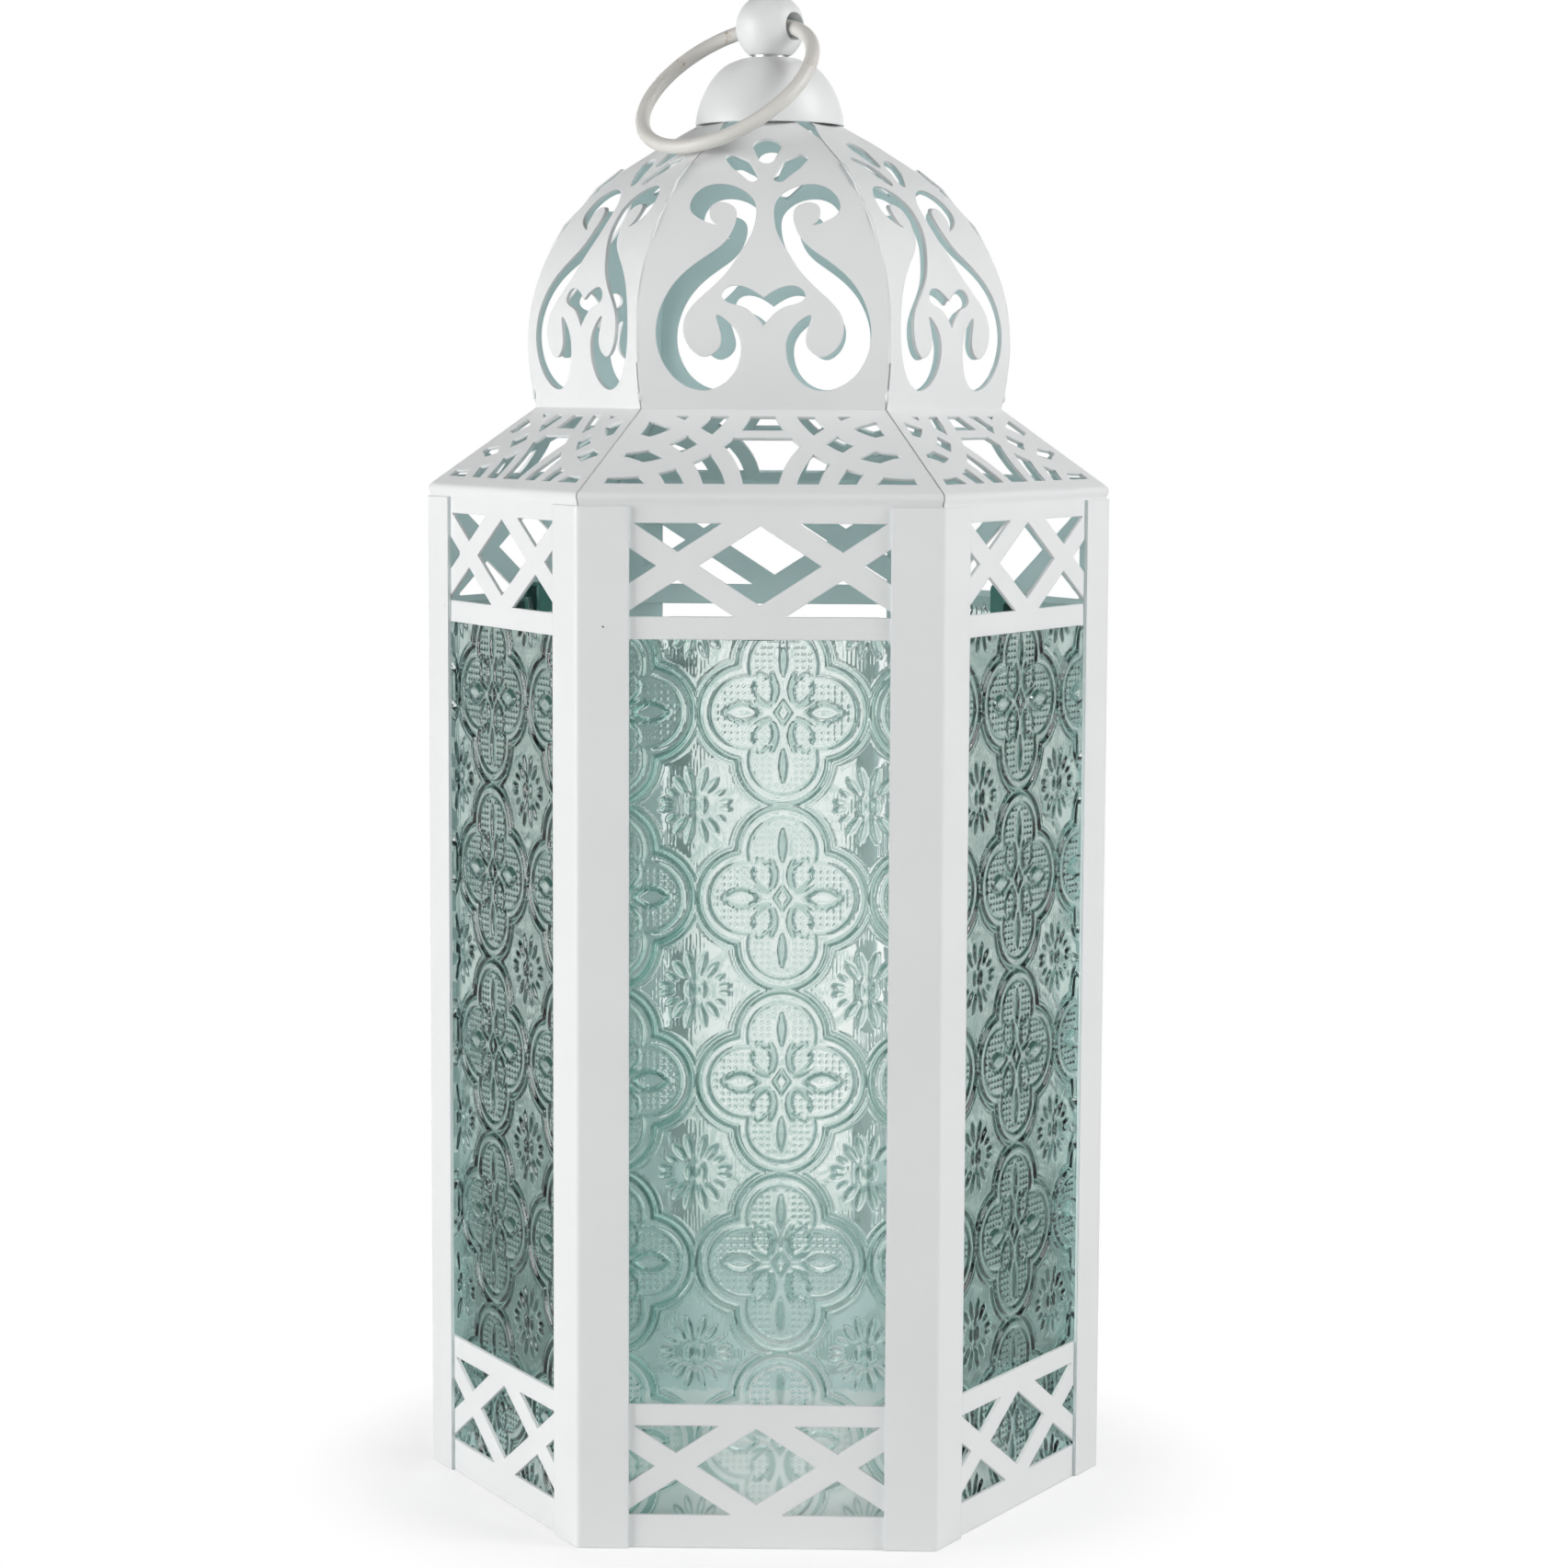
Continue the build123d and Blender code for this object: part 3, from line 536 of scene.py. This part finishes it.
# %% Copy it round the dome
for copy in range(5):
    bpy.ops.mesh.duplicate()
    bpy.ops.transform.rotate(value=math.radians(60), orient_axis="Z", center_override=(0, 0, 0))
bpy.ops.object.mode_set(mode="OBJECT")
bpy.ops.object.transform_apply(location=True, rotation=True, scale=True)
bpy.ops.object.shade_smooth_by_angle(angle=math.radians(60))
seam.data.materials.append(white_paint)
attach(seam, "lantern_body")
print("faces in six seams:", len(seam.data.polygons))

# %% [markdown]
# ## Lumps of solder at the neck
# Where dome and skirt meet, each corner was tacked with two dabs of solder that nobody filed
# off. A dab starts as a small ball of triangles, because that has no poles. It is roughened at
# random, smoothed again and drawn out tall, and no two come out the same.

# %% Shape the lumps
dice = random.Random(7)
neck_corner, neck_levels = 56.4 * mm, (263.5, 267.5)    # the levels are in millimetres


def solder_lump(corner, at_level):
    """A dab of solder at one of the six corners; its level is in millimetres."""
    deselect_all()
    bpy.ops.mesh.primitive_ico_sphere_add(subdivisions=3, radius=0.75 * mm)
    made = bpy.context.active_object
    bpy.ops.object.mode_set(mode="EDIT")
    bpy.ops.mesh.select_all(action="SELECT")
    bpy.ops.transform.vertex_random(offset=0.12 * mm, seed=corner * 7 + int(at_level))
    bpy.ops.mesh.vertices_smooth(factor=0.6, repeat=2)
    bpy.ops.transform.resize(value=(0.8, 0.8, dice.uniform(1.5, 2.4)),
                             center_override=(0, 0, 0))
    place = Vector((neck_corner, 0, (at_level + dice.uniform(-1, 1)) * mm))
    place.rotate(Matrix.Rotation(math.radians(60 * corner + dice.uniform(-0.6, 0.6)), 3, "Z"))
    bpy.ops.transform.translate(value=place)
    bpy.ops.object.mode_set(mode="OBJECT")
    return made


lumps = [solder_lump(corner, at_level) for corner in range(6) for at_level in neck_levels]
print("lumps of solder:", len(lumps))

# %% Join the lumps
deselect_all()
for lump in lumps:
    lump.select_set(True)
bpy.context.view_layer.objects.active = lumps[0]
bpy.ops.object.join()
solder = bpy.context.active_object
solder.name = "neck_solder"
bpy.ops.object.transform_apply(location=True, rotation=True, scale=True)
bpy.ops.object.shade_smooth()
solder.data.materials.append(white_paint)
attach(solder, "lantern_body")
print("faces in the lumps:", len(solder.data.polygons))

# %% [markdown]
# ## Pressed glass
# The windows are cut from one long sheet of glass that was pressed with a roller: medallions
# of four lobes in straight rows and columns, with a daisy in every gap. The relief is deep
# enough to bend what is behind it, so it is modelled, not painted. A fine grid is raised point
# by point by a formula, because no tool for pushing faces by hand could draw so many small
# lines. Every measure of the pattern is in millimetres from the middle of a medallion.

# %% Smooth steps, lines and leaves
repeat_across, repeat_up = 39.0, 42.0
grid_step = 0.375
dot_pitch = 4 * grid_step
ground_level = 0.42     # height of the plain ground, from 0 at the deepest to 1


def climb(low, high, value):
    """Smooth share from 0 to 1 as a value goes from low to high."""
    share = np.clip((value - low) / (high - low), 0, 1)
    return share * share * (3 - 2 * share)


def line(distance, half_width):
    """Share near a line, 1 on it and 0 past its half width."""
    return 1 - climb(0.35 * half_width, half_width, np.abs(distance))


def leaf(across, up, middle, angle, half_length, half_width):
    """Distance outside a leaf with two pointed ends; the angle is from upright, in degrees."""
    turn = math.radians(angle)
    x, y = across - middle[0], up - middle[1]
    along = np.abs(x * math.sin(turn) + y * math.cos(turn))
    aside = np.abs(x * math.cos(turn) - y * math.sin(turn))
    belly = aside - half_width * (1 - (along / half_length) ** 2)
    return np.where(along < half_length, belly, np.hypot(along - half_length, aside))


print("a medallion every", repeat_across, "mm across and", repeat_up, "mm up")


# %% The daisy
daisy_petals = ((14, 3.2, 9.0, 0.85), (38, 3.4, 8.2, 0.9), (62, 4.6, 7.6, 0.6),
                (83, 5.0, 8.4, 0.75))    # angle from upright, inner and outer end, half width
daisy_heart = (((0, 0), 1.6, 0.6, -0.4), ((1.6, 0), 1.9, 0.7, 0.5),
               ((0, 2.9), 1.2, 0.6, -0.35))    # middle, half length, half width, height


def daisy(across, up):
    """Height of a daisy above its ground, measured from its middle."""
    made = np.zeros_like(across)
    for angle, inner, outer, half in daisy_petals:
        reach = (inner + outer) / 2
        turn = math.radians(angle)
        petal = leaf(across, up, (reach * math.sin(turn), reach * math.cos(turn)), angle,
                     (outer - inner) / 2, half)
        made += 0.55 * climb(0.15, -0.55, petal)
    for place, half_length, half, level in daisy_heart:
        made += level * climb(0.2, -0.4, leaf(across, up, place, 0, half_length, half))
    return made


print("a daisy has", 4 * len(daisy_petals), "petals")


# %% The medallion
side_out, side_radius = 8.2, 7.9
end_out, end_radius = 10.7, 7.4
heart_radius = 8.0


def lobes(across, up):
    """Distance outside the four-lobed frame of a medallion."""
    sides = np.hypot(across - side_out, up) - side_radius
    ends = np.hypot(across, up - end_out) - end_radius
    return np.minimum(np.minimum(sides, ends), np.hypot(across, up) - heart_radius)


def medallion_heart(across, up):
    """Height of the flower in the middle of a medallion, and where it leaves no dots."""
    eye = leaf(across, up, (9.2, 0), 90, 4.0, 2.0)
    slit = leaf(across, up, (0, 12.0), 0, 4.6, 1.05)
    diamond = (across / 1.7 + up / 2.5 - 1) * 1.3
    arm = across - (1.5 + 0.09 * (up - 5.2) ** 2)
    arm = np.where((up > 2.0) & (up < 9.2), np.abs(arm), 9.0)
    teardrop = leaf(across, up, (4.3, 5.4), 18, 3.6, 1.9)
    stroke = leaf(across, up, (4.6, 1.9), 68, 2.4, 0.7)
    made = 0.4 * climb(0.1, -1.2, eye) - 0.4 * line(eye - 0.25, 0.5)
    made -= 0.75 * climb(0.15, -0.75, slit)
    made -= 0.5 * line(diamond, 0.5)
    made -= 0.5 * (1 - climb(0.2, 0.75, arm))
    made -= 0.4 * line(teardrop - 0.2, 0.5)
    made -= 0.5 * climb(0.2, -0.5, stroke)
    plain = np.minimum.reduce([eye - 0.8, slit - 0.9, stroke - 0.4,
                               np.hypot(across, up) - 3.4,
                               np.where(up < 10, across - 2.2, 9.0)])
    return made, plain


print("a medallion is", round(2 * (side_out + side_radius), 1), "mm wide and",
      round(2 * (end_out + end_radius), 1), "mm tall")


# %% The whole relief
def pressed(across, up):
    """Height of the relief, from 0 at its deepest to 1, at points from a medallion's middle."""
    x = np.abs((across + repeat_across / 2) % repeat_across - repeat_across / 2)
    y = np.abs((up + repeat_up / 2) % repeat_up - repeat_up / 2)
    out = lobes(x, y)
    ground = ground_level + daisy(repeat_across / 2 - x, repeat_up / 2 - y) * climb(4.2, 5.0, out)
    heart, plain = medallion_heart(x, y)
    dots = np.clip(np.cos(2 * np.pi * across / dot_pitch), 0, 1) * np.clip(
        np.cos(2 * np.pi * up / dot_pitch), 0, 1)
    dots = 0.55 * dots * climb(-0.35, -0.9, out) * climb(-0.1, 0.4, plain)
    field = ground_level + heart * climb(-0.1, -0.7, out) + dots
    made = np.where(out < 0.3, field, 0.6)                          # a raised frame
    made = np.where(out > 4.15, ground, made)
    made -= 0.3 * line(out - 0.1, 0.55)                             # its inner line
    made -= 0.62 * (climb(1.9, 2.45, out) - climb(2.85, 3.3, out))  # a deep groove
    made += 0.15 * line(out - 3.65, 0.45)                           # a thin outer rib
    made -= 0.25 * line(out - 4.2, 0.5)                             # and its outer line
    return np.clip(made, 0, 1)


sample = pressed(*np.meshgrid(np.arange(0, 20, grid_step), np.arange(0, 21, grid_step)))
print("relief runs from", round(float(sample.min()), 2), "to", round(float(sample.max()), 2))

# %% [markdown]
# ## The panes
# A pane starts as a flat grid, stood up at the place of its own flat pane, is raised by the
# pattern, and is then given its thickness by extruding its rim to the inner face. Only the part
# that a window can show carries the fine grid, and a plain margin is extruded round it. The
# front pane is made where it stands; the others are made there too and then turned round the
# lantern's axis, so each has the pattern cut at its own place, as panes from a long sheet are.


# %% Stand up a grid and press it
first_row = 24.3                     # height of the lowest row of medallions
window_half, window_low, window_high = 32.25, 6.3, 209.55
smooth_angle = math.radians(60)


def pane_painted_shade(node, across):
    """Painted shade that deepens a pane's tint, by the distance from its middle: on the front pane
    towards its sides, on the door's pane a little, on the others evenly.
    """
    if node == "window_pane_front":
        return 0.36 * climb(-6, -20, across) + 0.16 * climb(18, 28, across)
    return np.full_like(across, 0.05 if node == "door_pane" else 0.2)


def pressed_grid(name, node, first_column, half_width, low, high, outer, relief_depth):
    """The fine grid of one pane's outer face, with the attributes that its finish reads."""
    across_steps = round(2 * half_width / grid_step)
    up_steps = round((high - low) / grid_step)
    deselect_all()
    bpy.ops.mesh.primitive_grid_add(x_subdivisions=across_steps, y_subdivisions=up_steps,
                                    size=1)
    pane = bpy.context.active_object
    pane.name = pane.data.name = name
    points = np.empty(len(pane.data.vertices) * 3)
    pane.data.vertices.foreach_get("co", points)
    points = points.reshape(-1, 3)
    across = points[:, 0] * across_steps * grid_step
    up = low + (points[:, 1] + 0.5) * up_steps * grid_step
    border = np.minimum.reduce([half_width - np.abs(across), up - low, high - up])
    raised = pressed(across - first_column, up - first_row)
    raised = ground_level + (raised - ground_level) * climb(0, grid_step, border)
    steep = np.hypot(*np.gradient(raised.reshape(up_steps + 1, across_steps + 1))).ravel()
    steep = np.clip(3.0 * steep, 0, 1) * (border > 0.5 * grid_step)
    points = np.stack([across, -(outer - relief_depth * (1 - raised)), up], axis=1) * mm
    pane.data.vertices.foreach_set("co", points.ravel())
    for label, values in (("pressed", raised), ("steep", steep), ("across", across),
                          ("shade", pane_painted_shade(node, across))):
        layer = pane.data.attributes.new(label, "FLOAT", "POINT")
        layer.data.foreach_set("value", values.astype(np.float32))
    return pane


print("points across a window:", round(2 * window_half / grid_step) + 1)


# %% Give the pane its margin and its thickness
def press_pane(name, node, turn, first_column, fine_part, size, relief_depth):
    """One pane; fine_part is the half width, foot and top of its fine grid, in mm."""
    half_width, low, high = fine_part
    inner, outer, half, bottom, top = size
    pane = pressed_grid(name, node, first_column, half_width, low, high, outer, relief_depth)
    bpy.ops.object.mode_set(mode="EDIT")
    bpy.ops.mesh.select_mode(type="EDGE")
    bpy.ops.mesh.select_all(action="DESELECT")
    bpy.ops.mesh.select_non_manifold()
    bpy.ops.mesh.extrude_edges_move()
    bpy.ops.transform.resize(value=(half / half_width, 1, (top - bottom) / (high - low)),
                             center_override=(0, 0, (low + high) / 2 * mm))
    bpy.ops.transform.translate(value=(0, 0, (bottom + top - low - high) / 2 * mm))
    bpy.ops.mesh.extrude_edges_move()
    wall = outer - (1 - ground_level) * relief_depth - inner
    bpy.ops.transform.translate(value=(0, wall * mm, 0))
    bpy.ops.mesh.edge_face_add()
    bpy.ops.mesh.select_all(action="SELECT")
    bpy.ops.mesh.normals_make_consistent(inside=False)
    bpy.ops.object.mode_set(mode="OBJECT")
    pane.rotation_euler = (0, 0, math.radians(turn))
    bpy.ops.object.transform_apply(location=True, rotation=True, scale=True)
    bpy.ops.object.shade_smooth_by_angle(angle=smooth_angle)
    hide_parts(node)
    return pane


# %% Press the five fixed panes
faces = {"front": (0, 5.25), "front_right": (60, 1.5), "back_right": (120, -7.5),
         "back_left": (240, 12.0), "front_left": (300, -10.5)}    # turn, first column
window_relief, door_relief = 0.85, 0.3
front_low, front_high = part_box("window_pane_front")
window_size = [value / mm for value in (-front_high.y, -front_low.y, front_high.x,
                                        front_low.z, front_high.z)]
panes = {}
for face, (turned, column) in faces.items():
    panes[face] = press_pane(f"pressed_pane_{face}", f"window_pane_{face}", turned, column,
                             (window_half, window_low, window_high), window_size, window_relief)
    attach(panes[face], "lantern_body")
print("triangles in a pane:", len(panes["front"].data.polygons) * 2)

# %% Press the door's pane
door_low, door_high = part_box("door_pane")
door_size = [value / mm for value in (door_low.y, door_high.y, door_high.x, door_low.z,
                                      door_high.z)]
door_half, door_first, door_rise, door_column = 24.0, window_low + 30.75, 165.75, -3.0
panes["back"] = press_pane("pressed_pane_back", "door_pane", 180, door_column,
                           (door_half, door_first, door_first + door_rise), door_size,
                           door_relief)
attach(panes["back"], "door")
print("triangles in the door's pane:", len(panes["back"].data.polygons) * 2)

# %% [markdown]
# ## Sea glass
# Thick green glass is clear where it is flat. On the walls of the grooves and on low ground its
# colour is painted deeper and darker from the steepness stored with the mesh: a painted shade
# for the dark that the relief bends towards the eye. Light that only passes through on its way
# to something else is let through tinted, because bending every shadow would take far too long
# to draw.

# %% How much painted shade darkens the glass, and how its skin ripples
comb_pitch = 0.8


def stored(tree, label):
    """A value that was stored with the points of a pane."""
    return add_node(tree, "Attribute", attribute_name=label).outputs["Fac"]


def glass_painted_shade(tree, place):
    """Share of the deep colour, a painted shade: on the walls of grooves, on low ground and by the
    pane.
    """
    low_ground = ramp(tree, stored(tree, "pressed"), 0.35, 0.0)
    walls = maths(tree, "MAXIMUM", ramp(tree, stored(tree, "steep"), 0.25, 0.95), low_ground)
    share = maths(tree, "MULTIPLY_ADD", noise(tree, place, 22 * mm), 0.3, 0.46)
    return maths(tree, "ADD", maths(tree, "MULTIPLY", walls, share), stored(tree, "shade"),
                 clamp=True)


def glass_skin(tree, place):
    """Height of ripples everywhere, and of a fine upright comb on patches of the ground."""
    ripple = maths(tree, "MULTIPLY", noise(tree, place, 3.2 * mm), 0.35)
    comb = maths(tree, "SINE", maths(tree, "MULTIPLY", stored(tree, "across"),
                                     2 * math.pi / comb_pitch))
    ground = maths(tree, "COMPARE", stored(tree, "pressed"), ground_level, 0.01)
    combed = maths(tree, "MULTIPLY", ground, ramp(tree, noise(tree, place, 6 * mm), 0.48, 0.65))
    return maths(tree, "ADD", ripple, maths(tree, "MULTIPLY", maths(
        tree, "MULTIPLY", comb, combed), 0.13))


print("teeth of the comb every", comb_pitch, "mm")


# %% The glass finish
def glass_finish(name, clear, deep):
    """Clear is the colour of flat glass; deep is the darker colour of the painted shade on the
    relief.
    """
    material, tree, shader = new_material(name)
    place = add_node(tree, "TexCoord").outputs["Object"]
    feed(tree, shader.inputs["Base Color"], blend_colour(
        tree, glass_painted_shade(tree, place), (*clear, 1), (*deep, 1)))
    for label, value in (("Roughness", 0.04), ("IOR", 1.5), ("Transmission Weight", 1.0)):
        shader.inputs[label].default_value = value
    bump = add_node(tree, "Bump")
    bump.inputs["Strength"].default_value = 0.6
    bump.inputs["Distance"].default_value = 0.1 * mm
    feed(tree, bump.inputs["Height"], glass_skin(tree, place))
    feed(tree, shader.inputs["Normal"], bump.outputs[0])
    passing = add_node(tree, "BsdfTransparent")
    passing.inputs["Color"].default_value = (*[0.5 + 0.5 * value for value in clear], 1)
    shadow = add_node(tree, "LightPath").outputs["Is Shadow Ray"]
    feed(tree, tree.nodes["Material Output"].inputs["Surface"], blend_shader(
        tree, shadow, shader.outputs[0], passing.outputs[0]))
    return material


sea_glass = glass_finish("pressed sea glass", (0.90, 0.92, 0.907), (0.12, 0.33, 0.28))
for pane in panes.values():
    pane.data.materials.append(sea_glass)
print("glass on", len(panes), "panes")
